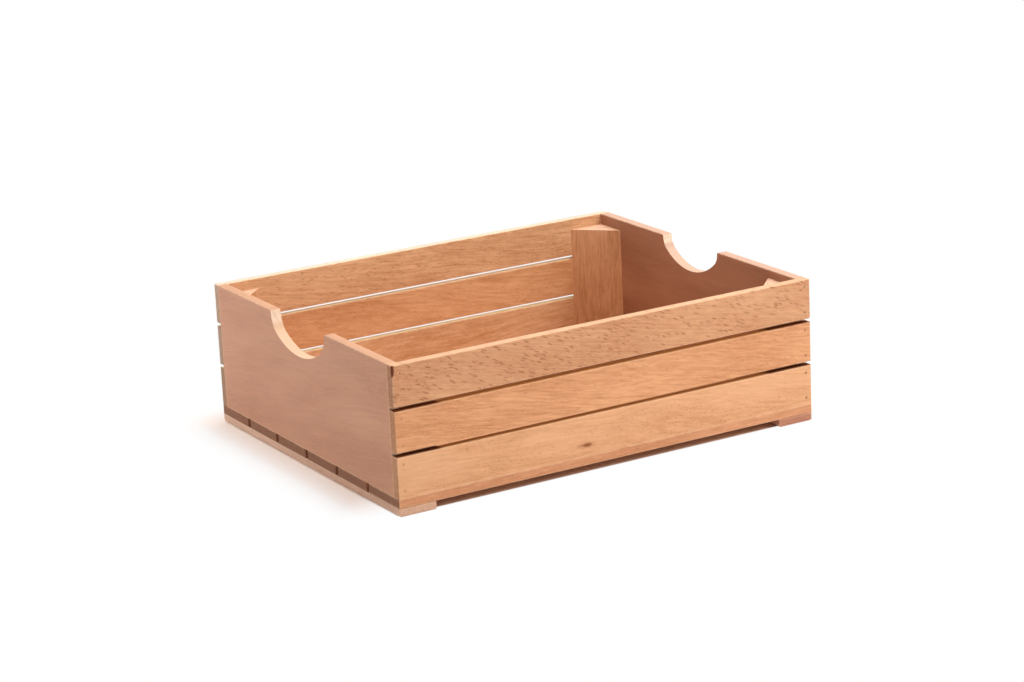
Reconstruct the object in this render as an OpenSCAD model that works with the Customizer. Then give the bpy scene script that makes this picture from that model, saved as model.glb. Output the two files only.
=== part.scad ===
// Wooden apple crate: beech boards, butt jointed, nailed with brads and stiffened by corner posts.
// +X runs along the crate, +Y from the front to the back and +Z up, with the origin
// on the floor under the crate's middle.

/* [Crate] */
// Length over the slat ends
crate_length = 400; // [300:1:600]
// Depth from the front face to the back face
crate_depth = 320; // [240:1:420]

/* [Side slats] */
// Height of one side slat
side_slat_height = 34.5; // [30:0.5:50]
// Thickness of the side slats
side_slat_thickness = 8; // [6:0.5:12]
// Gap between one side slat and the next
side_slat_gap = 3; // [2:0.5:8]

/* [Base slats] */
// Thickness of the base slats
base_slat_thickness = 8; // [6:0.5:12]
// Gap between one base slat and the next
base_slat_gap = 4; // [2:0.5:10]

/* [End panels] */
// Thickness of the end panels
end_panel_thickness = 9; // [7:0.5:14]

/* [Hand notches] */
// Width of the left panel's notch at the rim
left_notch_width = 96; // [80:1:120]
// Depth of the left panel's notch below the rim
left_notch_depth = 29.5; // [26:0.5:36]
// How far the left panel's notch sits behind the middle of the panel
left_notch_offset = 2; // [-10:0.5:10]
// Radius of the left notch's two shoulder arcs
left_notch_shoulder = 20; // [10:0.5:22]
// Width of the right panel's notch at the rim
right_notch_width = 84.5; // [70:0.5:120]
// Depth of the right panel's notch below the rim
right_notch_depth = 25.5; // [22:0.5:36]
// How far the right panel's notch sits behind the middle of the panel
right_notch_offset = 5.5; // [-10:0.5:10]
// Radius of the right notch's two shoulder arcs
right_notch_shoulder = 13; // [8:0.5:16]
// Rounding of the corner where a notch meets the rim
notch_lip = 2; // [1:0.25:3]

/* [Corner posts] */
// Leg of the front left post's triangular section
front_left_post_leg = 31; // [20:0.5:45]
// Leg of the front right post's triangular section
front_right_post_leg = 39; // [20:0.5:45]
// Leg of the back left post's triangular section
back_left_post_leg = 30; // [20:0.5:45]
// Leg of the back right post's triangular section
back_right_post_leg = 33; // [20:0.5:45]
// How far the front left post stops below the rim
front_left_post_drop = 9; // [2:0.5:20]
// How far the front right post stops below the rim
front_right_post_drop = 7.5; // [2:0.5:20]
// How far the back left post stops below the rim
back_left_post_drop = 9; // [2:0.5:20]
// How far the back right post stops below the rim
back_right_post_drop = 10; // [2:0.5:20]

/* [Foot battens] */
// Height of the battens
foot_height = 7.5; // [6:0.5:15]
// Width of the battens, along the crate
foot_width = 33.5; // [24:0.5:50]
// Rounding of the battens' lower edges
foot_rounding = 3; // [1:0.25:4]

/* [Edges] */
// Rounding of the sanded edges
arris = 1; // [0.4:0.1:1.4]

/* [Brads] */
// Diameter of a brad's shank
brad_diameter = 1.2; // [0.8:0.1:1.6]
// Diameter of a brad's head
brad_head_diameter = 2.2; // [1.8:0.1:3]
// Thickness of a brad's head
brad_head_thickness = 0.8; // [0.4:0.1:1.2]
// How far a brad's head is set below the face that it is driven into
brad_set = 0.3; // [0:0.1:0.6]
// Room around a brad in its hole, on each side
brad_clearance = 0.05; // [0.02:0.01:0.1]
// Length of the brads through the side slats and base slats
panel_brad_length = 22; // [16:0.5:26]
// Wood left above the tips of the brads through the battens
foot_brad_cover = 1.5; // [1:0.25:3]
// Distance between the two brads in a side slat's end
side_brad_spread = 22; // [14:0.5:24]
// How far the two rows of brads in an end panel sit to each side of its middle
brad_stagger = 1.2; // [1:0.1:1.8]

/* [Hidden] */
$fn = 48;

side_slats = 3;
base_slats = 6;
past = 1; // how far a cutter runs past the face that it opens
arc_lap = 0.01; // how far a notch's shoulder arcs reach past its wide arc, so that they cross

base_underside = foot_height;
base_top = base_underside + base_slat_thickness;
side_pitch = side_slat_height + side_slat_gap;
rim = base_top + side_slats * side_pitch - side_slat_gap;
panel_height = rim - base_top;
panel_width = crate_depth - 2 * side_slat_thickness;
panel_inside = crate_length / 2 - end_panel_thickness;
base_slat_width = (crate_depth - (base_slats - 1) * base_slat_gap) / base_slats;
base_pitch = base_slat_width + base_slat_gap;
side_brad_x = crate_length / 2 - end_panel_thickness / 2 - brad_stagger;
base_brad_x = crate_length / 2 - end_panel_thickness / 2 + brad_stagger;
foot_brad_x = crate_length / 2 - foot_width / 2;
foot_brad_length = foot_height + base_slat_thickness - foot_brad_cover;

beech = "#dba173";
beech_dark = "#c18a64";
beech_edge = "#d08d67";
steel = "#8c8a86";

function side_slat_bottom(row) = base_top + row * side_pitch;
function base_slat_y(index) = (index - (base_slats - 1) / 2) * base_pitch;

// ---- Shapes that repeat ----

// The sliver between a square corner at the origin and the round that replaces it.
module corner_waste(radius) {
    difference() {
        translate([-past, -past]) square(radius + past);
        translate([radius, radius]) circle(radius);
    }
}

// A rectangle whose corners have their own radii: near left, near right, far right, far left.
module eased_outline(size, radii) {
    difference() {
        square(size);
        for (corner = [0:3])
            if (radii[corner] > 0)
                translate([
                    corner == 1 || corner == 2 ? size[0] : 0,
                    corner >= 2 ? size[1] : 0
                ])
                    rotate(90 * corner) corner_waste(radii[corner]);
    }
}

// A board from the origin, with edges eased in its end view (along), plan and front view.
module board(size, along = [0, 0, 0, 0], plan = [0, 0, 0, 0], front = [0, 0, 0, 0]) {
    intersection() {
        rotate([90, 0, 90]) linear_extrude(size[0]) eased_outline([size[1], size[2]], along);
        linear_extrude(size[2]) eased_outline([size[0], size[1]], plan);
        translate([0, size[1], 0])
            rotate([90, 0, 0]) linear_extrude(size[1]) eased_outline([size[0], size[2]], front);
    }
}

// One brad driven up +Z from the face at the origin, with its head set in and its tip at length.
// With open above 0 its head runs out past the face, as the drill's does.
module brad(length, room = 0, open = 0) {
    head_start = open > 0 ? -open : brad_set;
    translate([0, 0, head_start])
        cylinder(h = brad_set + brad_head_thickness - head_start, d = brad_head_diameter + 2 * room);
    translate([0, 0, brad_set])
        cylinder(h = length - brad_set, d = brad_diameter + 2 * room);
}

// ---- Hand notches ----

// A three-centred arch hung from the rim: two shoulder arcs that run into one wide arc,
// with the corners at the rim rounded over.
module notch_outline(width, depth, shoulder) {
    half = width / 2;
    arch = depth - notch_lip;
    sweep = (half * half + arch * arch - 2 * half * shoulder) / (2 * (arch - shoulder));
    shoulder_x = half - shoulder;
    sweep_rise = sweep - arch;
    turn = atan2(shoulder_x, sweep_rise);
    meet_x = sweep * sin(turn);
    meet_y = sweep_rise - sweep * cos(turn) - notch_lip;
    intersection() {
        translate([0, sweep_rise - notch_lip]) circle(sweep);
        translate([-meet_x, -depth - past]) square([2 * meet_x, meet_y + depth + past]);
    }
    translate([-meet_x, meet_y]) square([2 * meet_x, past - meet_y]);
    translate([-half, -notch_lip]) square([width, notch_lip + past]);
    for (side = [-1, 1]) {
        translate([side * shoulder_x, -notch_lip]) circle(shoulder + arc_lap);
        mirror([side < 0 ? 1 : 0, 0])
            translate([half, 0]) mirror([0, 1]) corner_waste(notch_lip);
    }
}

// ---- Brads, also used with room around them as the drill that makes their holes ----

// The two brads in one end of one side slat: end is -1 left or 1 right, face -1 front or 1 back.
module side_brads(end, face, row, room = 0, open = 0) {
    for (level = [-1, 1])
        translate([
            end * side_brad_x,
            face * crate_depth / 2,
            side_slat_bottom(row) + side_slat_height / 2 + level * side_brad_spread / 2
        ])
            rotate([face * 90, 0, 0]) brad(panel_brad_length, room, open);
}

// One brad up through the end of each base slat into the end panel.
module base_brads(end, room = 0, open = 0) {
    for (index = [0:base_slats - 1])
        translate([end * base_brad_x, base_slat_y(index), base_underside])
            brad(panel_brad_length, room, open);
}

// One brad up through the batten into each base slat.
module foot_brads(end, room = 0, open = 0) {
    for (index = [0:base_slats - 1])
        translate([end * foot_brad_x, base_slat_y(index), 0])
            brad(foot_brad_length, room, open);
}

// ---- Boards ----

// A side slat: face is -1 front or 1 back, row 0 the bottom one. The bottom slat stands on the
// base on square edges, and only the top one has its ends eased at the rim.
module side_slat(face, row) {
    foot_edge = row == 0 ? 0 : arris;
    rim_edge = row == side_slats - 1 ? arris : 0;
    difference() {
        mirror([0, face > 0 ? 1 : 0, 0])
            translate([-crate_length / 2, -crate_depth / 2, side_slat_bottom(row)])
                board(
                    [crate_length, side_slat_thickness, side_slat_height],
                    along = [foot_edge, foot_edge, arris, arris],
                    plan = [arris, arris, 0, 0],
                    front = [0, 0, rim_edge, rim_edge]
                );
        for (end = [-1, 1])
            side_brads(end, face, row, brad_clearance, past);
    }
}

// An end panel between the side slats, on the base slats, notched for a hand.
module end_panel(end, notch_width, notch_depth, notch_offset, notch_shoulder) {
    difference() {
        mirror([end > 0 ? 1 : 0, 0, 0])
            translate([-crate_length / 2, -panel_width / 2, base_top])
                board([end_panel_thickness, panel_width, panel_height], front = [0, 0, arris, arris]);
        translate([end * (panel_inside + end_panel_thickness / 2), notch_offset, rim])
            rotate([90, 0, 90])
                linear_extrude(end_panel_thickness + 2 * past, center = true)
                    notch_outline(notch_width, notch_depth, notch_shoulder);
        for (face = [-1, 1], row = [0:side_slats - 1])
            side_brads(end, face, row, brad_clearance);
        base_brads(end, brad_clearance);
    }
}

// A base slat. The two outer ones have their outside edges eased, and all are eased at the gaps.
module base_slat(index) {
    front_edge = index == 0 ? arris : 0;
    back_edge = index == base_slats - 1 ? arris : 0;
    difference() {
        translate([-crate_length / 2, base_slat_y(index) - base_slat_width / 2, base_underside])
            board(
                [crate_length, base_slat_width, base_slat_thickness],
                along = [front_edge, back_edge, arris - back_edge, arris - front_edge],
                plan = [front_edge, front_edge, back_edge, back_edge]
            );
        for (end = [-1, 1]) {
            base_brads(end, brad_clearance, past);
            foot_brads(end, brad_clearance);
        }
    }
}

// A triangular post in an inside corner, its long face looking into the crate.
module corner_post(end, face, leg, drop) {
    translate([end * panel_inside, face * panel_width / 2, base_top])
        linear_extrude(panel_height - drop)
            polygon([[0, 0], [-end * leg, 0], [0, -face * leg]]);
}

// A batten across the underside of one end.
module foot_batten(end) {
    difference() {
        mirror([end > 0 ? 1 : 0, 0, 0])
            translate([-crate_length / 2, -crate_depth / 2, 0])
                board(
                    [foot_width, crate_depth, foot_height],
                    along = [foot_rounding, foot_rounding, 0, 0],
                    plan = [arris, arris, arris, arris],
                    front = [foot_rounding, foot_rounding, 0, 0]
                );
        foot_brads(end, brad_clearance, past);
    }
}

// ---- Nodes ----

module left_end_panel() {
    color(beech_dark)
        end_panel(-1, left_notch_width, left_notch_depth, left_notch_offset, left_notch_shoulder);
}
module right_end_panel() {
    color(beech_dark)
        end_panel(1, right_notch_width, right_notch_depth, right_notch_offset, right_notch_shoulder);
}
module front_top_slat() { color(beech) side_slat(-1, 2); }
module front_middle_slat() { color(beech) side_slat(-1, 1); }
module front_bottom_slat() { color(beech) side_slat(-1, 0); }
module back_top_slat() { color(beech) side_slat(1, 2); }
module back_middle_slat() { color(beech) side_slat(1, 1); }
module back_bottom_slat() { color(beech) side_slat(1, 0); }
module base_slat_1() { color(beech_edge) base_slat(0); }
module base_slat_2() { color(beech_edge) base_slat(1); }
module base_slat_3() { color(beech_edge) base_slat(2); }
module base_slat_4() { color(beech_edge) base_slat(3); }
module base_slat_5() { color(beech_edge) base_slat(4); }
module base_slat_6() { color(beech_edge) base_slat(5); }
module front_left_post() {
    color(beech_dark) corner_post(-1, -1, front_left_post_leg, front_left_post_drop);
}
module front_right_post() {
    color(beech_dark) corner_post(1, -1, front_right_post_leg, front_right_post_drop);
}
module back_left_post() {
    color(beech_dark) corner_post(-1, 1, back_left_post_leg, back_left_post_drop);
}
module back_right_post() {
    color(beech_dark) corner_post(1, 1, back_right_post_leg, back_right_post_drop);
}
module left_foot_batten() { color(beech_edge) foot_batten(-1); }
module right_foot_batten() { color(beech_edge) foot_batten(1); }
module front_left_brads() { color(steel) for (row = [0:side_slats - 1]) side_brads(-1, -1, row); }
module front_right_brads() { color(steel) for (row = [0:side_slats - 1]) side_brads(1, -1, row); }
module back_left_brads() { color(steel) for (row = [0:side_slats - 1]) side_brads(-1, 1, row); }
module back_right_brads() { color(steel) for (row = [0:side_slats - 1]) side_brads(1, 1, row); }
module left_base_brads() { color(steel) base_brads(-1); }
module right_base_brads() { color(steel) base_brads(1); }
module left_foot_brads() { color(steel) foot_brads(-1); }
module right_foot_brads() { color(steel) foot_brads(1); }

left_end_panel();
right_end_panel();
front_top_slat();
front_middle_slat();
front_bottom_slat();
back_top_slat();
back_middle_slat();
back_bottom_slat();
base_slat_1();
base_slat_2();
base_slat_3();
base_slat_4();
base_slat_5();
base_slat_6();
front_left_post();
front_right_post();
back_left_post();
back_right_post();
left_foot_batten();
right_foot_batten();
front_left_brads();
front_right_brads();
back_left_brads();
back_right_brads();
left_base_brads();
right_base_brads();
left_foot_brads();
right_foot_brads();
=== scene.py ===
# %% [markdown]
# # A wooden apple crate
# The crate is already built: the imported CAD model has every board, post and brad in its place.
# This notebook dresses it. It sets the camera where the photographer stood, gives each board
# its own piece of beech, lights it as a small studio does, and works out where its corners show.
# Everything is in metres, with +X along the crate, +Y to the back and +Z up.

# %% Load the imported crate
import math

import bpy
from mathutils import Matrix, Vector
from mathutils.bvhtree import BVHTree


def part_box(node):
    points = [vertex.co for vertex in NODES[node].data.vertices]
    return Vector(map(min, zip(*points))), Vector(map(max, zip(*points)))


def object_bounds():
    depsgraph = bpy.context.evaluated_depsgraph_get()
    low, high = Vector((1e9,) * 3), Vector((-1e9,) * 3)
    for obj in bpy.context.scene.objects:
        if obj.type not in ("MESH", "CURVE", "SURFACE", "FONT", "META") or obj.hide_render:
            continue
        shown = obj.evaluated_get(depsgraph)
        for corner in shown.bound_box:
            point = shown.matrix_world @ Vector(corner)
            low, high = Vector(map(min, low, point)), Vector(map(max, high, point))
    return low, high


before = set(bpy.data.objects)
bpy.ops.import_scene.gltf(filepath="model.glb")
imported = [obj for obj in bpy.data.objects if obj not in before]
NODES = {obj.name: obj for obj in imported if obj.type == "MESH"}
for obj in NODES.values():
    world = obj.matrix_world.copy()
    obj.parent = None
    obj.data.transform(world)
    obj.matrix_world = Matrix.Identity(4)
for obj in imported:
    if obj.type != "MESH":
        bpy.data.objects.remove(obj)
cad_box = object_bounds()
SCENE = bpy.context.scene
MM = 0.001
print("CAD nodes:", len(NODES), "box:", [[round(c, 4) for c in corner] for corner in cad_box])

# %% [markdown]
# ## Where things are in the photograph
# Each point is a place in the photograph's frame, 1024 wide and 682 high, with y downwards.
# The crate's outline and its corners settled the camera, and the last cells find where the
# vertices that stand for them show in the picture.

# %% Points of the picture
PICTURE = (1024, 682)
POINTS = {
    "near_rim_corner": (392.5, 367.3),
    "right_rim_corner": (809.5, 279.5),
    "left_rim_corner": (215.5, 283.0),
    "far_rim_corner": (606.0, 211.5),
    "left_notch_back_corner": (270.8, 310.5),
    "left_notch_bottom": (309.5, 359.0),
    "right_notch_back_corner": (663.0, 234.0),
    "right_notch_bottom": (697.0, 272.0),
    "back_right_post_top": (601.0, 224.0),
    "front_right_post_tip": (768.3, 278.0),
    "left_foot_inner_end": (435.8, 502.0),
    "right_foot_inner_end": (778.7, 421.0),
    "first_base_gap": (248.8, 421.5),
    "last_base_gap": (368.5, 488.0),
    "knot": (587.7, 444.6),
    "corner_crack": (391.5, 371.0),
}
print("named points:", len(POINTS))

# %% [markdown]
# ## The camera
# A long lens, well back, is what keeps the crate's edges almost parallel in the photograph.
# The camera is turned by a heading, a tilt and a roll, in that order, so that each number can
# be changed by itself. No shift is needed, because the picture's middle is the lens's own.

# %% Set up the camera
CAMERA_PLACE = Vector((-1.211387, -2.091333, 0.769220))
CAMERA_HEADING = -30.1169  # degrees to the left of +Y
CAMERA_TILT = -16.0948  # degrees above the horizon
CAMERA_ROLL = -2.6811  # degrees
LENS = 103.29
SENSOR = 36.0

camera_data = bpy.data.cameras.new("camera")
camera_data.lens = LENS
camera_data.sensor_width = SENSOR
camera_data.sensor_fit = "AUTO"
camera_data.clip_start = 0.05
camera_data.clip_end = 60
camera = bpy.data.objects.new("camera", camera_data)
camera.matrix_world = (
    Matrix.Translation(CAMERA_PLACE)
    @ Matrix.Rotation(math.radians(CAMERA_HEADING), 4, "Z")
    @ Matrix.Rotation(math.radians(90 + CAMERA_TILT), 4, "X")
    @ Matrix.Rotation(math.radians(CAMERA_ROLL), 4, "Z")
)
SCENE.collection.objects.link(camera)
SCENE.camera = camera
bpy.context.view_layer.update()
print("camera looks along", [round(c, 3) for c in camera.matrix_world.col[2].xyz * -1])

# %% [markdown]
# ## From the picture to the crate
# A point of the picture is a ray from the camera, and where that ray first meets the finished
# boards is the place on the crate. The knot and the drying crack of the photograph are part of
# the wood and not pieces of their own, so their places are found this way and handed to the
# material of the board that has them.

# %% Rays from the camera
SEARCH = 400  # mm before and behind the crate's middle, for a ray that goes past
SEARCH_STEP = 4


def finished_mesh(name):
    """A CAD node's mesh as it is rendered: its corners, and the corners of each face."""
    mesh = NODES[name].evaluated_get(bpy.context.evaluated_depsgraph_get()).to_mesh()
    return [v.co.copy() for v in mesh.vertices], [list(p.vertices) for p in mesh.polygons]


def place(point, name):
    """The place on a node's surface that shows at a point of the picture."""
    width, height = PICTURE
    long_side = max(width, height)
    ray = Vector((
        point[0] - width / 2 + camera_data.shift_x * long_side,
        height / 2 - point[1] + camera_data.shift_y * long_side,
        -long_side * LENS / SENSOR,
    ))
    ray = (camera.matrix_world.to_3x3() @ ray).normalized()
    tree = BVHTree.FromPolygons(*finished_mesh(name))
    hit = tree.ray_cast(CAMERA_PLACE, ray)[0]
    if hit:
        return hit
    # The ray goes past: the place nearest to it is searched for along its way
    reach = CAMERA_PLACE.length
    steps = range(-SEARCH, SEARCH + 1, SEARCH_STEP)
    steps = [CAMERA_PLACE + ray * (reach + step * MM) for step in steps]
    return tree.find_nearest(min(steps, key=lambda spot: tree.find_nearest(spot)[3]))[0]


KNOT_PLACE = place(POINTS["knot"], "front_bottom_slat")
CRACK_PLACE = place(POINTS["corner_crack"], "front_top_slat")
print("knot at", [round(c / MM, 1) for c in KNOT_PLACE], "mm")
print("crack at", [round(c / MM, 1) for c in CRACK_PLACE], "mm")

# %% [markdown]
# ## Colours and nodes
# Colours are written as they look on a screen, and one function turns them into the linear
# numbers that the renderer works in. A second small function adds any node to a material,
# makes its settings and fills its sockets, so that a material reads as a list of steps. Values
# go to the sockets in their order, or by name where they are given as a dictionary, and a node
# given as a value is linked by its first output. The last two start a material, and tell the
# rays that show a thing to the eye from those that only carry its light on to other things.

# %% Helpers for materials
def colour(code):
    """The linear colour of an sRGB hex code, with full alpha."""
    parts = [int(code[i:i + 2], 16) / 255 for i in (1, 3, 5)]
    return tuple(p / 12.92 if p <= 0.04045 else ((p + 0.055) / 1.055) ** 2.4 for p in parts) + (1,)


def add(tree, kind, values=(), **settings):
    """Adds a node to a tree, makes its settings, and fills or links its sockets."""
    node = tree.nodes.new("ShaderNode" + kind)
    for name, setting in settings.items():
        setattr(node, name, setting)
    in_order = [socket for socket in node.inputs if socket.enabled]
    named = isinstance(values, dict)
    for key, value in values.items() if named else enumerate(values):
        socket = node.inputs[key] if named else in_order[key]
        if isinstance(value, bpy.types.Node):
            value = next(output for output in value.outputs if output.enabled)
        if isinstance(value, bpy.types.NodeSocket):
            tree.links.new(value, socket)
        else:
            socket.default_value = value
    return node


def empty_material(name):
    """A new material and its node tree, with nothing in it yet."""
    material = bpy.data.materials.new(name)
    material.use_nodes = True
    material.node_tree.nodes.clear()
    return material, material.node_tree


def seen_directly(tree):
    """1 for a ray that shows the thing, straight, mirrored or through glass, and otherwise 0."""
    rays = add(tree, "LightPath").outputs
    seen = add(tree, "Math", (rays["Is Camera Ray"], rays["Is Glossy Ray"]), operation="MAXIMUM")
    return add(tree, "Math", (seen, rays["Is Transmission Ray"]), operation="MAXIMUM")


print("mid beech is", [round(c, 3) for c in colour("#D89A6F")])

# %% [markdown]
# ## Beech, cut from a log
# Beech is a close-grained, pinkish tan wood. What the eye reads, from large to small, is a
# slow drift of tone along the board, growth rings about 3 mm apart that run as lines or long
# arches, silky streaks, fibres, pores too fine to count, and the short dark flecks of
# its rays, which are what tells beech from other pale woods. On end grain the rings turn to
# arcs and the wood looks darker.
#
# A flat picture of grain would slide off at each corner. Here each board is cut from its own
# log instead: the pattern fills space around the pith, the log's middle line, and the board's
# faces, edges and ends all show the same rings, each as it should. A board needs only to say
# which way its grain runs, how far off the pith lay and how the saw crossed the grain.

# %% What a plain board looks like
PLAIN = dict(
    grain="x",  # the axis that the grain runs along
    slant=0.0, dive=0.0,  # degrees that the grain is off the board's length, in two directions
    pith=(18.0, 85.0),  # mm from the log's middle line
    pale="#E6AC80", deep="#C98A5F",  # its lightest and deepest wood
    rings=0.16, streaks=0.75, fibres=0.35, pores=0.35, drift=0.45,  # how much each one shows
    streak_size=(2.0, 2.0, 24.0),  # mm across, across and along
    flecks=0.35, fleck="#A3673F", fleck_share=0.20,  # how strong, their colour, how many
    fleck_size=(1.1, 1.0, 3.2), fleck_turn=0.0,  # mm, and degrees off the grain
    ends=0.28, end_tone="#8A573E", end_pale="#B97F5B",  # how much end grain differs, its two tones
    edges=0.0, edge_tone="#8A5A3A",  # how much the sawn edges differ from the faces
    edge_shine=0.3,  # how much the sawn edges reflect
    edge_turn=(0.85, 0.55),  # how squarely a surface faces outwards where edges start, and are full
    rim_tone="",  # their colour along the very top, where it is another
    shut=(0.0, 0.0),  # mm at its left and right end where a post shuts the gap behind it, painted as shade
    seam=0.0,  # mm of painted shade and dirt beside the gaps, on the ends
    worn=0.30,  # how pale the sanded arrises are
)
GRAIN_ALONG = {  # turns the log's own axis, +Z, to the way that a board's grain runs
    "x": (0, math.radians(90), 0),
    "y": (math.radians(-90), 0, 0),
    "z": (0, 0, 0),
}
SLANT_AXIS = {"x": 1, "y": 0, "z": 0}  # the axes that slant and dive turn about
DIVE_AXIS = {"x": 2, "y": 2, "z": 1}
LOG_STEP = 613.0  # mm along the log from one board's wood to the next, so that none repeats


def in_the_log(tree, look, seed, middle, turn_more=0.0):
    """Any point of a board in its log's millimetres: x and y from the pith, z along the grain."""
    turn = list(GRAIN_ALONG[look["grain"]])
    turn[SLANT_AXIS[look["grain"]]] += math.radians(look["slant"] + turn_more)
    turn[DIVE_AXIS[look["grain"]]] += math.radians(look["dive"])
    here = add(tree, "TexCoord").outputs["Object"]
    in_board = add(tree, "Mapping", (here, middle, turn, (MM, MM, MM)), vector_type="TEXTURE")
    return add(tree, "VectorMath", (in_board, (*look["pith"], seed * LOG_STEP)), operation="ADD")


print("a plain board has", len(PLAIN), "properties")

# %% [markdown]
# ## Rings, streaks and fibres
# The trunk isn't straight, so the coordinates wander a few millimetres over a hand's length
# before anything is drawn on them. A ring is then a step in the distance from the pith. Good
# years and lean years are a one-dimensional noise added to that distance, and each ring
# darkens slowly and ends sharply, as late wood does. Streaks and fibres are noise
# stretched along the grain: the cell's three sizes in millimetres are all that sets them apart.

# %% Tone of the wood
RING = 3.2  # mm between growth rings
WANDER = 22.0  # mm that the grain strays
STRAY_CELL = (60.0, 60.0, 190.0)  # mm across, across and along, over which it strays
YEARS_CELL = 11.0  # mm of wood over which good years turn to lean ones
YEARS_SHIFT = 5.0  # rings that the good and lean years move one another by
DARKENS = (0.35, 0.92)  # share of a year where the wood starts to darken and is darkest
PALES = (1.0, 0.96)  # and where it turns pale again
FIBRE_CELL = (0.75, 0.75, 9.0)  # mm, as STRAY_CELL
DRIFT_CELL = (38.0, 38.0, 120.0)


def wood_tone(tree, look, log):
    """How deep the wood's tone is, from 0 to 1, with the parts that other layers reuse."""
    cell = add(tree, "VectorMath", (log, STRAY_CELL), operation="DIVIDE")
    stray = add(tree, "TexNoise", (cell, 1.0, 2.0, 0.45)).outputs["Color"]
    stray = add(tree, "VectorMath", (stray, (0.5, 0.5, 0.5)), operation="SUBTRACT")
    sideways = add(tree, "VectorMath", (stray, (WANDER, WANDER, 0.0)), operation="MULTIPLY")
    bent = add(tree, "VectorMath", (log, sideways), operation="ADD")

    # Growth rings, with uneven years, pale at the start and darker at the close
    across = add(tree, "VectorMath", (bent, (1.0, 1.0, 0.0)), operation="MULTIPLY")
    radius = add(tree, "VectorMath", (across,), operation="LENGTH")
    decade = add(tree, "Math", (radius, YEARS_CELL), operation="DIVIDE")
    years = add(tree, "TexNoise", (decade, 1.0, 2.0), noise_dimensions="1D")
    count = add(tree, "Math", (radius, RING), operation="DIVIDE")
    count = add(tree, "Math", (years, YEARS_SHIFT, count), operation="MULTIPLY_ADD")
    year = add(tree, "Math", (count,), operation="FRACT")
    close = add(tree, "MapRange", (year, *DARKENS), interpolation_type="SMOOTHSTEP")
    start = add(tree, "MapRange", (year, *PALES), interpolation_type="SMOOTHSTEP")
    late_wood = add(tree, "Math", (close, start), operation="MULTIPLY")

    # Silky streaks, fibres and a slow drift of tone
    parts = {}
    for part, base, size, detail, rough in (
        ("streaks", bent, look["streak_size"], 3.0, 0.6),
        ("fibres", bent, FIBRE_CELL, 2.0, 0.6),
        ("drift", log, DRIFT_CELL, 2.0, 0.5),
    ):
        cell = add(tree, "VectorMath", (base, size), operation="DIVIDE")
        parts[part] = add(tree, "TexNoise", (cell, 1.0, detail, rough))

    # However much the rings show, the mean tone stays near the middle
    level = 0.5 - 0.4 * look["rings"]
    tone = add(tree, "Math", (late_wood, look["rings"], level), operation="MULTIPLY_ADD")
    for part, noise in parts.items():
        centred = add(tree, "Math", (noise, 0.5), operation="SUBTRACT")
        tone = add(tree, "Math", (centred, 2 * look[part], tone), operation="MULTIPLY_ADD")
    tone = add(tree, "Math", (tone, 0.0), operation="MAXIMUM", use_clamp=True)
    return tone, {"bent": bent, "stray": stray, "late_wood": late_wood, **parts}


print("rings", RING, "mm apart, straying", WANDER, "mm")

# %% [markdown]
# ## Pores and ray flecks
# Both are cells of a Voronoi pattern, stretched along the grain, with a mark in the middle of
# each cell. Pores are in every cell but fade in and out with the drift. Flecks are kept in only
# some cells, by the random colour that each cell has, and more of them where the wood is
# crowded. Real pores are a tenth of a millimetre wide. They are drawn about 0.5 mm
# wide, which is coarser than life, so that they show at all.

# %% Marks in the wood
PORE_CELL = (1.1, 1.1, 5.0)  # mm across, across and along
PORE_EDGE = (0.34, 0.14)  # share of a cell from its middle where a pore starts and is full
PORE_PATCH = (0.40, 0.60)  # drift at which pores start to show and all show
RIPPLE = 2.4  # mm that the flecks stray from their rows
RIPPLE_CELL = (5.0, 5.0, 5.0)  # mm over which they stray
FLECK_EDGE = (0.42, 0.14)  # as PORE_EDGE
CROWD_CELL = (22.0, 22.0, 26.0)  # mm from one crowd of flecks to the next
CROWD_RANGE = (0.36, 0.62, 0.35, 1.35)  # noise from and to, and how many flecks it keeps
FAINTEST = 0.45  # how strong the faintest fleck is


def pore_marks(tree, wood):
    """Where the pores are, from 0 to 1."""
    cell = add(tree, "VectorMath", (wood["bent"], PORE_CELL), operation="DIVIDE")
    cells = add(tree, "TexVoronoi", (cell, 1.0), feature="F1")
    pore = add(tree, "MapRange", (cells, *PORE_EDGE), interpolation_type="SMOOTHSTEP")
    patch = add(tree, "MapRange", (wood["drift"], *PORE_PATCH), interpolation_type="SMOOTHSTEP")
    return add(tree, "Math", (pore, patch), operation="MULTIPLY")


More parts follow.
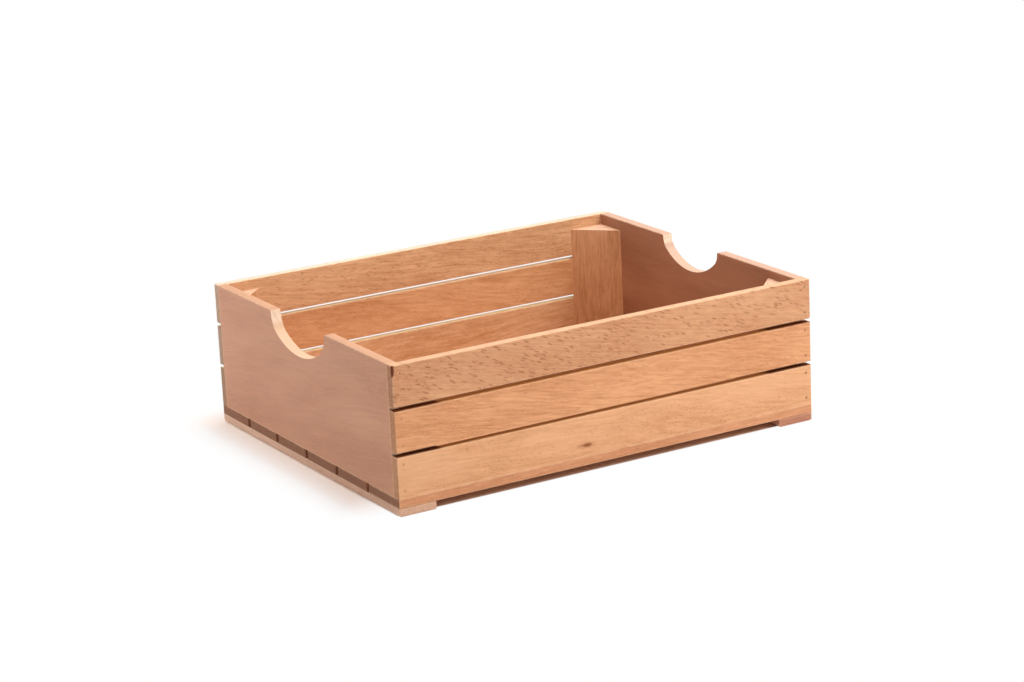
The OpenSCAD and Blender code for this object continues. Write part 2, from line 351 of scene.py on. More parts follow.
def fleck_marks(tree, look, log, turned):
    """Where the ray flecks are, from 0 to 1: short lenses, each a little off its neighbours."""
    near = add(tree, "VectorMath", (log, RIPPLE_CELL), operation="DIVIDE")
    ripple = add(tree, "TexNoise", (near, 1.0, 1.0, 0.5)).outputs["Color"]
    ripple = add(tree, "VectorMath", (ripple, (0.5, 0.5, 0.5)), operation="SUBTRACT")
    ripple = add(tree, "VectorMath", (ripple, (RIPPLE, RIPPLE, RIPPLE)), operation="MULTIPLY")
    uneven = add(tree, "VectorMath", (turned, ripple), operation="ADD")
    size = [2 * side for side in look["fleck_size"]]
    cell = add(tree, "VectorMath", (uneven, size), operation="DIVIDE")
    cells = add(tree, "TexVoronoi", (cell, 1.0), feature="F1")
    chance = add(tree, "SeparateColor", (cells.outputs["Color"],)).outputs

    patch = add(tree, "VectorMath", (log, CROWD_CELL), operation="DIVIDE")
    patch = add(tree, "TexNoise", (patch, 1.0, 1.0, 0.5))
    crowd = add(tree, "MapRange", (patch, *CROWD_RANGE), interpolation_type="SMOOTHSTEP")
    share = add(tree, "Math", (crowd, look["fleck_share"]), operation="MULTIPLY")
    kept = add(tree, "Math", (chance["Red"], share), operation="LESS_THAN")
    mark = add(tree, "MapRange", (cells, *FLECK_EDGE), interpolation_type="SMOOTHSTEP")
    strength = add(tree, "MapRange", (chance["Green"], 0.0, 1.0, FAINTEST, 1.0))
    mark = add(tree, "Math", (mark, kept), operation="MULTIPLY")
    return add(tree, "Math", (mark, strength), operation="MULTIPLY")


print("pore cells of", PORE_CELL, "mm")

# %% [markdown]
# ## Ends, edges and arrises
# The normal tells which kind of surface a point is on. Where it lies along the grain the wood
# is end grain, open and mostly darker. Where it is at right angles to the normal of the board's
# two broad faces, the point is on a sawn edge: in the front's gaps its darker tone is painted
# shade, at the back's gaps its pale tone is painted light, and on the rims it is wood that was
# sanded and handled and has gone pale. A hand notch is both: level at its bottom, where it is a
# sawn edge, and upright at its sides, where it is end grain. An arris, the line where two faces
# meet, is rubbed paler within about a millimetre. How deep a point lies below each pair of faces
# gives that away: on an arris the second smallest depth is near nothing.

# %% Masks from the board's shape
ARRIS = (1.5, 0.4)  # mm deep where the rubbed wood starts and is full
RUB_CELL = 6.0  # mm over which the rubbing comes and goes
RUB_RANGE = (0.3, 0.7, 0.35, 1.0)  # noise from and to, and how much it rubs


def facing(tree, axis):
    """How squarely the surface faces along an axis, 0 to 2 for x to z, either way."""
    direction = tuple(float(i == axis) for i in range(3))
    normal = add(tree, "TexCoord").outputs["Normal"]
    along = add(tree, "VectorMath", (normal, direction), operation="DOT_PRODUCT")
    return add(tree, "Math", (along,), operation="ABSOLUTE")


def arris_mask(tree, middle, half):
    """Where two faces of the board's box meet, unevenly, as sandpaper leaves it."""
    here = add(tree, "TexCoord").outputs["Object"]
    off = add(tree, "VectorMath", (here, middle), operation="SUBTRACT")
    off = add(tree, "VectorMath", (off,), operation="ABSOLUTE")
    depth = add(tree, "VectorMath", (half, off), operation="SUBTRACT")
    depth = add(tree, "VectorMath", (depth, (MM, MM, MM)), operation="DIVIDE")
    x, y, z = add(tree, "SeparateXYZ", (depth,)).outputs
    xy = add(tree, "Math", (x, y), operation="MAXIMUM")
    yz = add(tree, "Math", (y, z), operation="MAXIMUM")
    xz = add(tree, "Math", (x, z), operation="MAXIMUM")
    second = add(tree, "Math", (xy, yz), operation="MINIMUM")
    second = add(tree, "Math", (second, xz), operation="MINIMUM")
    arris = add(tree, "MapRange", (second, *ARRIS), interpolation_type="SMOOTHSTEP")
    cell = add(tree, "VectorMath", (here, (RUB_CELL * MM,) * 3), operation="DIVIDE")
    rub = add(tree, "TexNoise", (cell, 1.0, 2.0, 0.6))
    rub = add(tree, "MapRange", (rub, *RUB_RANGE), interpolation_type="SMOOTHSTEP")
    return add(tree, "Math", (arris, rub), operation="MULTIPLY")


print("masks ready")

# %% [markdown]
# ## The knot and the crack
# One slat has a pin knot, where a twig left the trunk: a dark heart, a soft brown ring around
# it, and a tail that the grain drew out to one side. Each is a distance from the knot's place,
# stretched to its own half sizes. The same recipe, upright and narrow, paints the drying crack at
# the near end of the top slat: its dark is painted shade, as the boards have no split in them.

# %% Blemishes
KNOT = (  # shift and half sizes in mm, along and up, where it starts and is full, share, colour
    ((0.0, 0.0), (13.0, 3.8), (1.0, 0.2), 0.45, "#B77A4C"),
    ((-5.5, 0.5), (5.5, 1.3), (1.0, 0.3), 0.45, "#A0663A"),
    ((0.0, 0.0), (5.5, 2.2), (1.05, 0.40), 0.92, "#8E5022"),
)
# The crack's dark colour is painted shade of a split that the boards don't have
CRACK = (((0.0, 0.0), (2.2, 6.2), (1.05, 0.70), 1.0, "#6A2C0C"),)
THROUGH = 20.0  # mm that a knot goes into the board
CRACK_THROUGH = 1.3  # mm that a crack goes into it
BLEMISH_STRAY = (4 * MM, 0.0, 2 * MM)  # how far the grain's own wandering bends a spot


def blemish(tree, wood_colour, spots, spot_place, through, stray):
    """Darkens the wood around a place, in one or more soft spots."""
    here = add(tree, "TexCoord").outputs["Object"]
    off = add(tree, "VectorMath", (here, spot_place), operation="SUBTRACT")
    uneven = add(tree, "VectorMath", (stray, BLEMISH_STRAY), operation="MULTIPLY")
    off = add(tree, "VectorMath", (off, uneven), operation="ADD")
    for (x, z), (long, high), (outer, inner), share, code in spots:
        moved = add(tree, "VectorMath", (off, (x * MM, 0.0, z * MM)), operation="SUBTRACT")
        size = (long * MM, through * MM, high * MM)
        scaled = add(tree, "VectorMath", (moved, size), operation="DIVIDE")
        away = add(tree, "VectorMath", (scaled,), operation="LENGTH")
        spot = add(tree, "MapRange", (away, outer, inner, 0.0, share),
                   interpolation_type="SMOOTHSTEP")
        wood_colour = add(tree, "Mix", (spot, wood_colour, colour(code)), data_type="RGBA")
    return wood_colour


print("a knot of", len(KNOT), "spots")

# %% [markdown]
# ## The planed faces
# A planed face runs between the board's pale and its deep wood, by the tone. A pore is a small
# hollow that light doesn't reach, so it multiplies the colour below it. A ray fleck is wood of
# another kind, so its own colour takes the place of what is there.

# %% Colour of the faces
PORE_TINT = "#B98A6E"  # what a pore multiplies the wood's colour by


def face_wood(tree, look, tone, pore, fleck):
    """The colour of a board's planed faces, with its pores and flecks."""
    tint = add(tree, "Mix", (tone, colour(look["pale"]), colour(look["deep"])), data_type="RGBA")
    dark = add(tree, "Mix", (1.0, tint, colour(PORE_TINT)), data_type="RGBA",
               blend_type="MULTIPLY")
    amount = add(tree, "Math", (pore, look["pores"]), operation="MULTIPLY")
    tint = add(tree, "Mix", (amount, tint, dark), data_type="RGBA")
    amount = add(tree, "Math", (fleck, look["flecks"]), operation="MULTIPLY")
    return add(tree, "Mix", (amount, tint, colour(look["fleck"])), data_type="RGBA")


print("pores tint the wood", PORE_TINT)

# %% [markdown]
# ## End grain
# A saw that cuts across the grain leaves the pores open, so an end is a fine speckle of two
# tones, and the late wood of each ring crosses it as a dark arc.

# %% Colour of the ends
END_CELL = (0.9, 0.9, 6.0)  # mm across, across and along, of the speckle
GRIT = (0.35, 0.65)  # the speckle's noise at its first tone and at its second
LATE_END = "#8A5A3C"  # late wood on end grain
LATE_END_SHOWS = 2.2  # how much more the rings show there than on a face


def end_wood(tree, look, late_wood, speckle):
    """The colour of end grain, speckled with open pores and darkened by late wood."""
    grit = add(tree, "MapRange", (speckle, *GRIT), interpolation_type="SMOOTHSTEP")
    tint = add(tree, "Mix", (grit, colour(look["end_tone"]), colour(look["end_pale"])),
               data_type="RGBA")
    ring = LATE_END_SHOWS * look["rings"]
    ring = add(tree, "Math", (late_wood, ring), operation="MULTIPLY")
    return add(tree, "Mix", (ring, tint, colour(LATE_END)), data_type="RGBA")


print("rings show", LATE_END_SHOWS, "times as much on the ends")

# %% [markdown]
# ## Sawn edges and gaps
# A sawn edge has one tone for all its length, with two exceptions. Where a corner post shuts a
# gap from behind, no light comes through, and the edge there is painted nearly dark, as painted
# shade. Along the top of a handled rim the wood has another tone than down in the notch. And on
# the ends of the base slats, painted shade and dirt lie beside the gaps.

# %% Colour of the edges and beside the gaps
PAINTED_SHUT_SHADE = "#6E300E"  # painted shade on sawn edges where a post shuts the gap behind them
SHUT_BLUR = 2 * MM
RIM_BAND = (1.0 * MM, 0.3 * MM)  # below the rim, where its own tone starts and is full
SEAM_SHADE_AND_DIRT_TONE = "#78422C"  # painted shade and dirt on the end grain beside the base's gaps


def off_middle(tree, coordinate, middle):
    """How far a point lies from a board's middle along one axis, either way."""
    off = add(tree, "Math", (coordinate, middle), operation="SUBTRACT")
    return add(tree, "Math", (off,), operation="ABSOLUTE")


def sawn_wood(tree, look, along, reach, upwards, rim):
    """The colour of sawn edges, given a point's place along the board and its height."""
    sawn = colour(look["edge_tone"])
    left_shut, right_shut = look["shut"]
    # Painted shade where a post shuts the gap from behind
    if left_shut or right_shut:
        off = off_middle(tree, along, (left_shut - right_shut) / 2 * MM)
        reach -= (left_shut + right_shut) / 2 * MM
        shut = add(tree, "MapRange", (off, reach - SHUT_BLUR, reach + SHUT_BLUR))
        sawn = add(tree, "Mix", (shut, sawn, colour(PAINTED_SHUT_SHADE)), data_type="RGBA")
    if look["rim_tone"]:
        band = [rim - depth for depth in RIM_BAND]
        top = add(tree, "MapRange", (upwards, *band))
        sawn = add(tree, "Mix", (top, sawn, colour(look["rim_tone"])), data_type="RGBA")
    return sawn


def seam_shade_and_dirt_mask(tree, look, off, reach):
    """Where painted shade and dirt lie beside a gap, given how far a point is from the middle."""
    starts, full = reach - look["seam"] * MM, reach - look["seam"] / 2 * MM
    return add(tree, "MapRange", (off, starts, full))


print("gaps shut to", PAINTED_SHUT_SHADE)

# %% [markdown]
# ## The finish
# The finish is bare sanded beech. It is dull, a little silkier along the streaks and rougher
# in the pores, on end grain and on sawn edges. The layers that colour the wood also drive a
# very shallow bump, so that light grazing the boards finds the grain.

# %% Roughness and relief
SILKY = (0.60, 0.48)  # roughness on the palest and the deepest streaks
ROUGHER = {"pores": 0.10, "ends": 0.15, "edges": 0.50}  # roughness that each one adds
RELIEF = 0.22 * MM  # how deep the bump is, of which each layer takes its own share, up or down
STANDS_UP = {"streaks": 0.5, "fibres": 0.6, "pores": -0.5, "flecks": -0.7, "ends": 0.8}


def roughness(tree, streaks, **layers):
    """How dull the wood is."""
    dull = add(tree, "MapRange", (streaks, 0.3, 0.7, *SILKY), interpolation_type="SMOOTHSTEP")
    for part, layer in layers.items():
        dull = add(tree, "Math", (layer, ROUGHER[part], dull), operation="MULTIPLY_ADD",
                   use_clamp=True)
    return dull


def relief(tree, **layers):
    """The bump that the layers leave in a sanded surface."""
    height = 0.0
    for part, layer in layers.items():
        height = add(tree, "Math", (layer, STANDS_UP[part], height), operation="MULTIPLY_ADD")
    return add(tree, "Bump", {"Strength": 0.55, "Distance": RELIEF, "Height": height})


print("bump:", RELIEF / MM, "mm deep, from", ", ".join(STANDS_UP))

# %% [markdown]
# ## The whole material
# One material is made for each board. The layers go on one over the other: the faces, the end
# grain, the sawn edges with their painted shade and light, the painted shade and dirt beside the
# base's gaps, the rubbed arrises, and then the knot or the crack, whose dark is painted shade.

# %% The beech material
END_ON = (0.75, 0.97)  # how squarely a surface faces along the grain where ends start, are full
FACE_SHINE = 0.3  # how much the planed faces reflect
SAWN_SHINE_FROM = 0.8  # how far sawn wood has to show before it reflects as it does by itself
RUBBED_TONE = "#F6CFA6"  # arrises that sandpaper and hands have rubbed


def beech(name, box, seed, knot=None, crack=None, **changes):
    """Makes the beech of one board. box is its lowest and highest corner, in metres."""
    look = {**PLAIN, **changes}
    material, tree = empty_material(name)
    low, high = box
    middle = [(a + b) / 2 for a, b in zip(low, high)]
    half = [(b - a) / 2 for a, b in zip(low, high)]
    grain_axis, thin_axis = "xyz".index(look["grain"]), half.index(min(half))
    place_in_board = add(tree, "SeparateXYZ", (add(tree, "TexCoord").outputs["Object"],)).outputs

    # The wood itself, and the marks in it
    log = in_the_log(tree, look, seed, middle)
    tone, wood = wood_tone(tree, look, log)
    pore = pore_marks(tree, wood)
    turned = in_the_log(tree, look, seed, middle, look["fleck_turn"])
    fleck = fleck_marks(tree, look, log, turned)
    cell = add(tree, "VectorMath", (log, END_CELL), operation="DIVIDE")
    speckle = add(tree, "TexNoise", (cell, 1.0, 2.0, 0.6))

    # Which kind of surface a point is on
    end_on = facing(tree, grain_axis)
    end_on = add(tree, "MapRange", (end_on, *END_ON), interpolation_type="SMOOTHSTEP")
    not_end = add(tree, "Math", (1.0, end_on), operation="SUBTRACT")
    flat = facing(tree, thin_axis)
    edge = add(tree, "MapRange", (flat, *look["edge_turn"]), interpolation_type="SMOOTHSTEP")
    edge = add(tree, "Math", (edge, not_end), operation="MULTIPLY")
    sawn_on = add(tree, "Math", (edge, look["edges"]), operation="MULTIPLY")

    # Its colour, layer by layer
    tint = face_wood(tree, look, tone, pore, fleck)
    amount = add(tree, "Math", (end_on, 2 * look["ends"]), operation="MULTIPLY")
    ends = end_wood(tree, look, wood["late_wood"], speckle)
    tint = add(tree, "Mix", (amount, tint, ends), data_type="RGBA")
    sawn = sawn_wood(tree, look, place_in_board[grain_axis], half[grain_axis],
                     place_in_board["Z"], high[2])
    tint = add(tree, "Mix", (sawn_on, tint, sawn), data_type="RGBA")
    # Painted shade and dirt beside the base's gaps
    if look["seam"]:
        width_axis = 3 - grain_axis - thin_axis
        off = off_middle(tree, place_in_board[width_axis], middle[width_axis])
        seam = seam_shade_and_dirt_mask(tree, look, off, half[width_axis])
        seam = add(tree, "Math", (seam, end_on), operation="MULTIPLY")
        tint = add(tree, "Mix", (seam, tint, colour(SEAM_SHADE_AND_DIRT_TONE)), data_type="RGBA")
    arris = arris_mask(tree, middle, half)
    amount = add(tree, "Math", (arris, look["worn"]), operation="MULTIPLY")
    tint = add(tree, "Mix", (amount, tint, colour(RUBBED_TONE)), data_type="RGBA")
    if knot:
        tint = blemish(tree, tint, KNOT, knot, THROUGH, wood["stray"])
    if crack:
        tint = blemish(tree, tint, CRACK, crack, CRACK_THROUGH, (0.0, 0.0, 0.0))

    # Its finish
    rough_end = add(tree, "Math", (speckle, end_on), operation="MULTIPLY")
    shine = add(tree, "MapRange", (sawn_on, 0.0, SAWN_SHINE_FROM, FACE_SHINE, look["edge_shine"]))
    dull = roughness(tree, wood["streaks"], pores=pore, ends=end_on, edges=sawn_on)
    bump = relief(tree, streaks=wood["streaks"], fibres=wood["fibres"], pores=pore, flecks=fleck,
                  ends=rough_end)
    shader = add(tree, "BsdfPrincipled", {
        "Base Color": tint, "Roughness": dull, "IOR": 1.5, "Specular IOR Level": shine,
        "Normal": bump,
    })
    add(tree, "OutputMaterial", {"Surface": shader})
    return material


print("beech:", PLAIN["pale"], "to", PLAIN["deep"])

# %% [markdown]
# ## What several boards share
# The two lower slats of each side share the sawn edges that line their gaps: darker in front,
# as painted shade where they lie in shade, and pale at the back, as painted light where light
# comes in between them. The base slats share their reddish ends, the panels the pale end grain
# at the sides of their hand notches, and the posts their upright grain.

# %% Looks that boards share
# Painted shade: the darker sawn edges in the front's gaps, nearly dark where a post shuts them
PAINTED_SHADE_GAP_EDGES = dict(edges=0.88, edge_tone="#C0864F", edge_shine=0.0, shut=(40.5, 43.5))
# Painted light: the pale sawn edges in the back's gaps stand in for light coming in between them
PAINTED_LIGHT_GAP_EDGES = dict(
    edges=0.95, edge_tone="#FFEFCE", edge_shine=0.0, edge_turn=(0.40, 0.15), worn=0.0)
BASE_SLAT = dict(
    dive=0.8, ends=0.45, end_tone="#72422F", end_pale="#95654B", seam=1.6, worn=0.1,
    edges=0.75, edge_tone="#8A5030")
PANEL = dict(
    grain="y", dive=0.8, ends=0.5, end_tone="#F8DABC", end_pale="#FBE1C6", pores=0.2)
POST = dict(
    grain="z", pale="#E2B086", deep="#BA865A", ends=0.45, end_tone="#E0AA88", end_pale="#EEC2A4",
    worn=0.1)
print("the posts' grain runs along", POST["grain"], "and the panels' along", PANEL["grain"])

# %% [markdown]
# ## A piece of beech for every board
# The boards of a crate come out of different planks, and the photograph shows it. The front's
# top slat is sawn on the quarter and is full of ray flecks that lie slantwise, the two below it
# are plainer, the panels are cooler and the posts run upright. The back slats are paler, partly
# as painted light on their shaded inner faces, and the right panel darker, partly as painted
# shade on its inner face. Each entry is one board, with only what sets it apart from a plain one.
# The order counts: each board takes its own stretch of the log by it.

# %% The boards
BOARDS = {
    "front_top_slat": dict(
        slant=11, dive=0.5, pith=(110, 30), pale="#E0A87D", deep="#BE7F56",
        streaks=0.55, streak_size=(1.8, 1.8, 16.0), flecks=0.92, fleck="#96592F", fleck_share=0.85,
        fleck_size=(1.15, 4.0, 4.6), fleck_turn=12, edges=0.45, edge_tone="#E4BC9A"),
    "front_middle_slat": dict(
        slant=9, dive=0.8, pith=(40, 80), pale="#E9AA7B", deep="#C58152",
        streaks=0.80, streak_size=(1.9, 1.9, 20.0), fibres=0.28, drift=0.6, fleck_turn=4,
        **PAINTED_SHADE_GAP_EDGES),
    "front_bottom_slat": dict(
        slant=5, dive=-0.9, pith=(-12, 95), pale="#EEB589", deep="#D39667",
        streaks=0.62, streak_size=(1.8, 1.8, 28.0), fibres=0.25, drift=0.55, flecks=0.2,
        **PAINTED_SHADE_GAP_EDGES),
    # The back slats' paler tones are partly painted light on their shaded inner faces
    "back_top_slat": dict(
        slant=7, dive=0.5, pith=(60, -60), pale="#ECC094", deep="#BF875A",
        streaks=0.62, fibres=0.28, flecks=0.5, fleck="#8F5A34", fleck_share=0.5,
        fleck_size=(0.7, 2.4, 3.2), ends=0.5, end_tone="#B8977E", end_pale="#C6A68C",
        edges=0.38, edge_tone="#FFF0E4"),
    "back_middle_slat": dict(
        slant=7, dive=-0.7, pith=(-30, -90), pale="#E5B284", deep="#C08453",
        streaks=0.68, flecks=0.45, fleck_share=0.45, fleck_size=(0.7, 2.4, 2.8),
        ends=0.5, end_tone="#AD8D76", end_pale="#BB9A83", **PAINTED_LIGHT_GAP_EDGES),
    "back_bottom_slat": dict(
        slant=-2, dive=0.9, pith=(15, -80), pale="#E7BA90", deep="#C1895A",
        streaks=0.75, flecks=0.4, fleck_share=0.35, fleck_size=(0.7, 2.4, 2.8),
        ends=0.5, end_tone="#A07E62", end_pale="#B08B6E", **PAINTED_LIGHT_GAP_EDGES),
    "base_slat_1": {**BASE_SLAT, **dict(
        pith=(80, 20), pale="#E3A47A", deep="#C17E53", flecks=0.3, edges=0.0, worn=0.4)},
    "base_slat_2": dict(pith=(-80, 12), pale="#E0A477", deep="#C38559", **BASE_SLAT),
    "base_slat_3": dict(pith=(70, -15), pale="#DDA075", deep="#BF7F55", **BASE_SLAT),
    "base_slat_4": dict(pith=(-90, 3), pale="#E4A97C", deep="#C98B60", **BASE_SLAT),
    "base_slat_5": dict(pith=(95, 24), pale="#DB9E72", deep="#BE7F54", **BASE_SLAT),
    "base_slat_6": dict(pith=(-75, -22), pale="#E0A57A", deep="#C4875D", **BASE_SLAT),
    "left_end_panel": dict(
        slant=-9, pith=(110, 25), pale="#D9A07E", deep="#C18364",
        rings=0.08, streaks=0.48, streak_size=(2.2, 2.2, 60.0), fibres=0.22, drift=0.6,
        flecks=0.45, fleck="#9A654A", fleck_share=0.06, fleck_size=(3.0, 0.6, 12.0),
        edges=0.60, edge_tone="#E6CAA9", rim_tone="#CCA080", **PANEL),
    # Its darker tone is partly painted shade on its inner face
    "right_end_panel": dict(
        slant=2, pith=(-100, 25), pale="#B78568", deep="#966548",
        rings=0.08, streaks=0.32, streak_size=(3.0, 3.0, 60.0), fibres=0.2, drift=0.8, flecks=0.15,
        edges=0.85, edge_tone="#D6B49C", rim_tone="#D2AA94", **PANEL),
    "front_left_post": dict(pith=(70, 60), **POST),
    "front_right_post": dict(pith=(-70, 60), **POST),
    "back_left_post": dict(pith=(70, -60), **POST),
    "back_right_post": dict(pith=(60, 70), **POST),
    "left_foot_batten": dict(
        grain="y", slant=1, pith=(25, 70), pale="#F0C7AC", deep="#D1A185", ends=0.08),
    "right_foot_batten": dict(grain="y", slant=1, pith=(-20, 70), pale="#E6A88E", deep="#C7846B"),
}
print("boards described:", len(BOARDS))

# %% Dress the boards
BLEMISHES = {
    "front_bottom_slat": {"knot": KNOT_PLACE},
    "front_top_slat": {"crack": CRACK_PLACE},
}
for seed, (name, changes) in enumerate(BOARDS.items(), start=1):
    wood = beech("beech_" + name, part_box(name), seed, **changes, **BLEMISHES.get(name, {}))
    NODES[name].data.materials.clear()
    NODES[name].data.materials.append(wood)
print("boards dressed:", len(BOARDS))

# %% [markdown]
# ## Bronzed steel brads
# The brads are thin nails with small heads, set just under the surface. They are bronzed so
# that they go with the wood, and dulled with handling, so a head is a small brown dot with a
# blurred shine. Those at the near corner can't be told from the wood in the photograph: theirs
# are rubbed bright. The bloom on the metal is noise of about a millimetre, half the width of a
# head, so one brad comes out a little lighter than the next.

# %% The brad material
BLOOM = 1.1  # mm across a patch of bloom


def brad_steel(name, bright, dark):
    """Makes the bronzed steel of some brads, blooming between two tones."""
    material, tree = empty_material(name)
    here = add(tree, "TexCoord").outputs["Object"]
    bloom = add(tree, "TexNoise", (here, 1 / (BLOOM * MM), 3.0))
    tint = add(tree, "Mix", (bloom, colour(bright), colour(dark)), data_type="RGBA")
    dull = add(tree, "MapRange", (bloom, 0.0, 1.0, 0.35, 0.60))
    bump = add(tree, "Bump", {"Strength": 0.3, "Distance": 0.05 * MM, "Height": bloom})
    shader = add(tree, "BsdfPrincipled", {
        "Base Color": tint, "Metallic": 1.0, "Roughness": dull, "Normal": bump,
    })
    add(tree, "OutputMaterial", {"Surface": shader})
    return material


bronzed = brad_steel("bronzed_steel_brads", "#D0A078", "#B07E58")
rubbed = brad_steel("bright_rubbed_steel_brads", "#E2AC84", "#CD976F")
brads = {name: node for name, node in NODES.items() if name.endswith("_brads")}
for name, node in brads.items():
    node.data.materials.clear()
    node.data.materials.append(rubbed if name == "front_left_brads" else bronzed)
print("brad nodes:", len(brads))

# %% [markdown]
# ## The floor
# The crate stands on a white sweep, far wider than the picture. A plane is all it takes, a
# hair below the feet, so that the two surfaces never lie in one another.

# %% The floor
FLOOR_SIZE = 12.0
FLOOR_DROP = 0.3 * MM  # keeps the floor off the undersides of the feet

bpy.ops.object.select_all(action="DESELECT")
bpy.ops.mesh.primitive_plane_add(size=FLOOR_SIZE, location=(0, 0, -FLOOR_DROP))
floor = bpy.context.active_object
floor.name = "studio_floor"
print("floor:", FLOOR_SIZE, "m across")

# %% [markdown]
# ## Shadow and white
# In the photograph the sweep has burnt out to pure white all round, and only the wood's own
# soft, warm shadow is left beside the boards. So to the camera the floor is lit like any floor
# where the crate stands, with painted warm light from the wood above it in its colour, and turns
# quickly into plain white with the distance from its footprint. All other light meets an
# ordinary pale floor, which throws some back up under the boards.

# %% The floor's material
HALF_LENGTH, HALF_DEPTH = cad_box[1][:2]
SHADOW_FRONT = 0.008  # metres under the crate, from its front, where the shadow starts
SHADOW_SIDE = 0.003  # and from its sides
SHADOW_MIDDLE = (0.0, SHADOW_FRONT / 2, 0.0)
SHADOW_HALF = (HALF_LENGTH - SHADOW_SIDE, HALF_DEPTH - SHADOW_FRONT / 2, 0.0)
SHADOW_EDGE = 0.002  # metres over which the crate's own dark outline ends
SHADOW_PALE = 0.40  # how much of the shadow beside the crate is already burnt out
SHADOW_FADE = (0.010, 0.050)  # metres beside the crate from which and to which it goes
FRONT_FADE = (-0.050, -0.150)  # y from which and to which it goes, towards the front
WARM_REACH = 0.028  # metres that the painted warm light from the wood reaches
FLOOR_UNDER_PAINTED_WARMTH = "#FFE0C6"  # painted warm light under the boards, where nearly all the light comes from the wood
FLOOR_BESIDE = "#FFF9F4"
FLOOR_PAINTED_GLOW = "#FFDFCC"  # painted warm light from the wood, where the burnt-out floor is next to the boards
FLOOR_BOUNCE = "#EDECEA"  # what all light but the camera's meets
WHITE = "#FFFFFF"

paper, tree = empty_material("white_paper_sweep")
here = add(tree, "TexCoord").outputs["Object"]
off = add(tree, "VectorMath", (here, SHADOW_MIDDLE), operation="SUBTRACT")
off = add(tree, "VectorMath", (off,), operation="ABSOLUTE")
outside = add(tree, "VectorMath", (off, SHADOW_HALF), operation="SUBTRACT")
outside = add(tree, "VectorMath", (outside, (0.0, 0.0, 0.0)), operation="MAXIMUM")
away = add(tree, "VectorMath", (outside,), operation="LENGTH")
beside = add(tree, "MapRange", (away, *SHADOW_FADE, SHADOW_PALE, 1.0),
             interpolation_type="SMOOTHSTEP")
towards_front = add(tree, "SeparateXYZ", (here,)).outputs["Y"]
towards_front = add(tree, "MapRange", (towards_front, *FRONT_FADE),
                    interpolation_type="SMOOTHSTEP")
burnt_out = add(tree, "Math", (beside, towards_front), operation="MAXIMUM")
not_under = add(tree, "MapRange", (away, 0.0, SHADOW_EDGE))
burnt_out = add(tree, "Math", (burnt_out, not_under), operation="MULTIPLY")
paper_tone = add(tree, "Mix", (not_under, colour(FLOOR_UNDER_PAINTED_WARMTH), colour(FLOOR_BESIDE)),
                 data_type="RGBA")
lit = add(tree, "BsdfDiffuse", {"Color": paper_tone})
cooled = add(tree, "MapRange", (away, 0.0, WARM_REACH))
cooled = add(tree, "Math", (cooled, towards_front), operation="MAXIMUM")
glow = add(tree, "Mix", (cooled, colour(FLOOR_PAINTED_GLOW), colour(WHITE)), data_type="RGBA")
white = add(tree, "Emission", {"Color": glow, "Strength": 1.0})
seen = add(tree, "MixShader", (burnt_out, lit, white))
bounce = add(tree, "BsdfDiffuse", {"Color": colour(FLOOR_BOUNCE)})
surface = add(tree, "MixShader", (seen_directly(tree), bounce, seen))
add(tree, "OutputMaterial", {"Surface": surface})
floor.data.materials.append(paper)
print("the floor is white from", SHADOW_FADE[1], "m off")

# %% [markdown]
# ## The room and the lamps
# White walls stand round the table, so a lot of soft light comes in level and lights the
# crate's sides. The world gives that: bright near the horizon and dim overhead.
# To the camera, and in reflections, it is plain white, as the backdrop is in the photograph.
# One large softbox hangs above, a smaller one stands in front and to the right and makes the
# front brighter than the near end, and a weak one, low behind the left end, opens the shadow
# there.

# %% The room
WALLS = 0.80  # how bright the world is near the horizon
OVERHEAD = 0.10
WALL_RANGE = (0.1, 0.5)  # sine of the height where the walls start to dim and where they end

world = bpy.data.worlds.new("white_studio")
SCENE.world = world
world.use_nodes = True
tree = world.node_tree
tree.nodes.clear()
upward = add(tree, "SeparateXYZ", (add(tree, "TexCoord").outputs["Generated"],)).outputs["Z"]
walls = add(tree, "MapRange", (upward, *WALL_RANGE, WALLS, OVERHEAD),
            interpolation_type="SMOOTHSTEP")
power = add(tree, "MapRange", (seen_directly(tree), 0.0, 1.0, walls, 1.0))
backing = add(tree, "Background", {"Color": (1, 1, 1, 1), "Strength": power})
add(tree, "OutputWorld", {"Surface": backing})
print("walls at", WALLS, "overhead at", OVERHEAD)

# %% The lamps
LAMPS = {  # place, what it is aimed at, width in metres, watts
    "softbox_above": ((0.15, 0.05, 1.35), (0, 0, 0.05), 1.5, 25.0),
    "softbox_front_right": ((0.85, -1.15, 1.05), (0, 0, 0.06), 0.8, 13.5),
    "softbox_low_left": ((-0.55, 0.50, 0.18), (-0.2, 0.10, 0.06), 0.25, 0.80),
}
for name, (spot, target, width, watts) in LAMPS.items():
    data = bpy.data.lights.new(name, "AREA")
    data.shape = "SQUARE"
    data.size = width
    data.energy = watts
    lamp = bpy.data.objects.new(name, data)
    aim = Vector(target) - Vector(spot)
    lamp.matrix_world = Matrix.Translation(spot) @ aim.to_track_quat("-Z", "Y").to_matrix().to_4x4()
    SCENE.collection.objects.link(lamp)
SCENE.view_settings.view_transform = "Standard"
print("lamps:", ", ".join(LAMPS))

# %% [markdown]
# ## Finding corners again
# A named point stands for a vertex of the finished boards. A corner is the vertex that lies
# furthest in the corner's direction. The notches are found among the vertices of the panels
# alone, below the rim and away from the panel's own ends. A base gap shows between two slats,
# so it is the middle of their nearest edges.

# %% Vertices that stand for the points
RIM = cad_box[1][2]
NOTCH_REACH = 0.1  # metres from the middle that a notch stays within
NOTCH_FLOOR = RIM - 36 * MM  # lower than either notch goes
LIP = 2.5 * MM  # below the rim, where a notch's corner still is
PICTURE_DOWN = -camera.matrix_world.col[1].xyz


def furthest(name, way, keep=lambda v: True):
    """The vertex of a finished node that lies furthest along a direction."""
    return max(filter(keep, finished_mesh(name)[0]), key=lambda v: v.dot(Vector(way)))


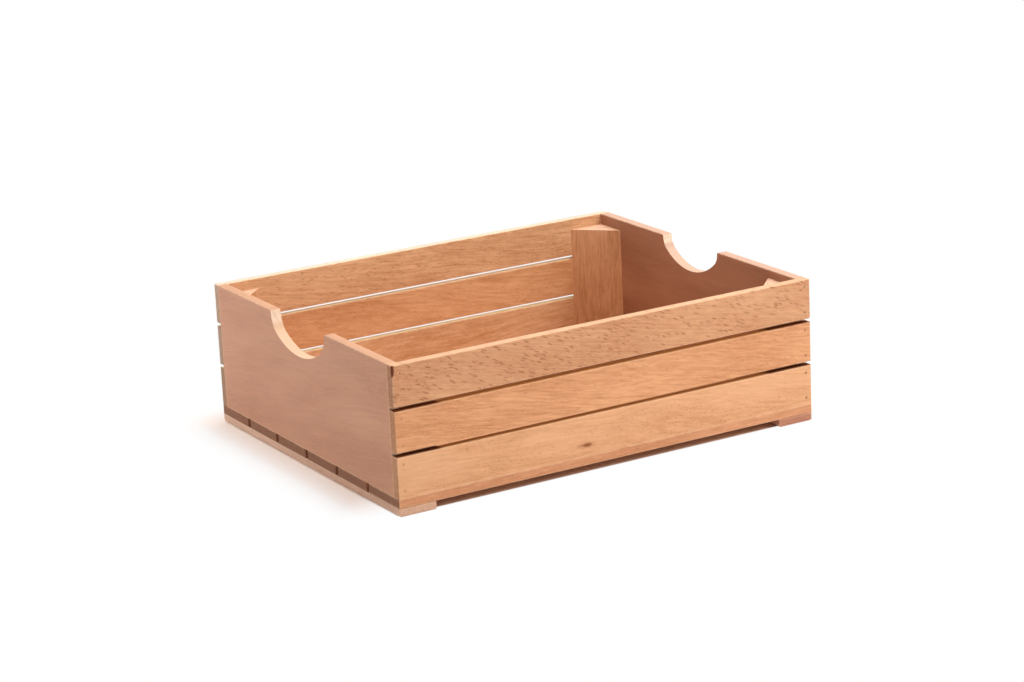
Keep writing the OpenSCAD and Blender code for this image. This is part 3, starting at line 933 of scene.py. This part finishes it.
def in_notch(v):
    """Whether a vertex of a panel is on its hand notch, or on the rim beside it."""
    return abs(v.y) < NOTCH_REACH and v.z > NOTCH_FLOOR


def at_notch_back(v):
    """Whether a vertex of a panel is on its rim, behind the middle of the notch."""
    return 0 < v.y < NOTCH_REACH and v.z > RIM - LIP


def middle_of_edge(name, x, y):
    """The middle of a node's upright edge that lies furthest towards x and y."""
    return (furthest(name, (x, y, 1)) + furthest(name, (x, y, -1))) / 2


def gap_middle(front, back):
    """The middle of a gap between two base slats, at the left end."""
    return (middle_of_edge(front, -1, 1) + middle_of_edge(back, -1, -1)) / 2


print("the notches are looked for above", round(NOTCH_FLOOR, 3), "m")

# %% [markdown]
# ## Where the points show
# Each vertex that stands for a point is sent through the camera, to where it shows in the
# picture, in pixels to the right and downwards. Nothing stops on this measure. Every vertex of
# the crate is sent through it in the same way.

# %% Measure the points
def shows_at(spot):
    """Where a place on the crate shows in the picture."""
    width, height = PICTURE
    long_side = max(width, height)
    local = camera.matrix_world.inverted() @ Vector(spot)
    size = long_side * LENS / SENSOR / -local.z
    return (
        width / 2 - camera_data.shift_x * long_side + local.x * size,
        height / 2 + camera_data.shift_y * long_side - local.y * size,
    )


SPOTS = {
    "near_rim_corner": furthest("front_top_slat", (-1, -1, 1)),
    "right_rim_corner": furthest("front_top_slat", (1, -1, 1)),
    "left_rim_corner": furthest("back_top_slat", (-1, 1, 1)),
    "far_rim_corner": furthest("back_top_slat", (1, 1, 1)),
    "left_notch_back_corner": furthest("left_end_panel", (-0.5, -1, 1), at_notch_back),
    "left_notch_bottom": furthest("left_end_panel", PICTURE_DOWN, in_notch),
    "right_notch_back_corner": furthest("right_end_panel", (-0.5, -1, 1), at_notch_back),
    "right_notch_bottom": furthest("right_end_panel", PICTURE_DOWN, in_notch),
    "back_right_post_top": furthest("back_right_post", (1, 1, 1)),
    "front_right_post_tip": furthest("front_right_post", (1, 2, 1)),
    "left_foot_inner_end": middle_of_edge("left_foot_batten", 1, -1),
    "right_foot_inner_end": middle_of_edge("right_foot_batten", -1, -1),
    "first_base_gap": gap_middle("base_slat_5", "base_slat_6"),
    "last_base_gap": gap_middle("base_slat_1", "base_slat_2"),
    "knot": KNOT_PLACE,
    "corner_crack": CRACK_PLACE,
}
seen_at = [shows_at(v) for name in NODES for v in finished_mesh(name)[0]]

# %% Finish
bpy.context.view_layer.update()
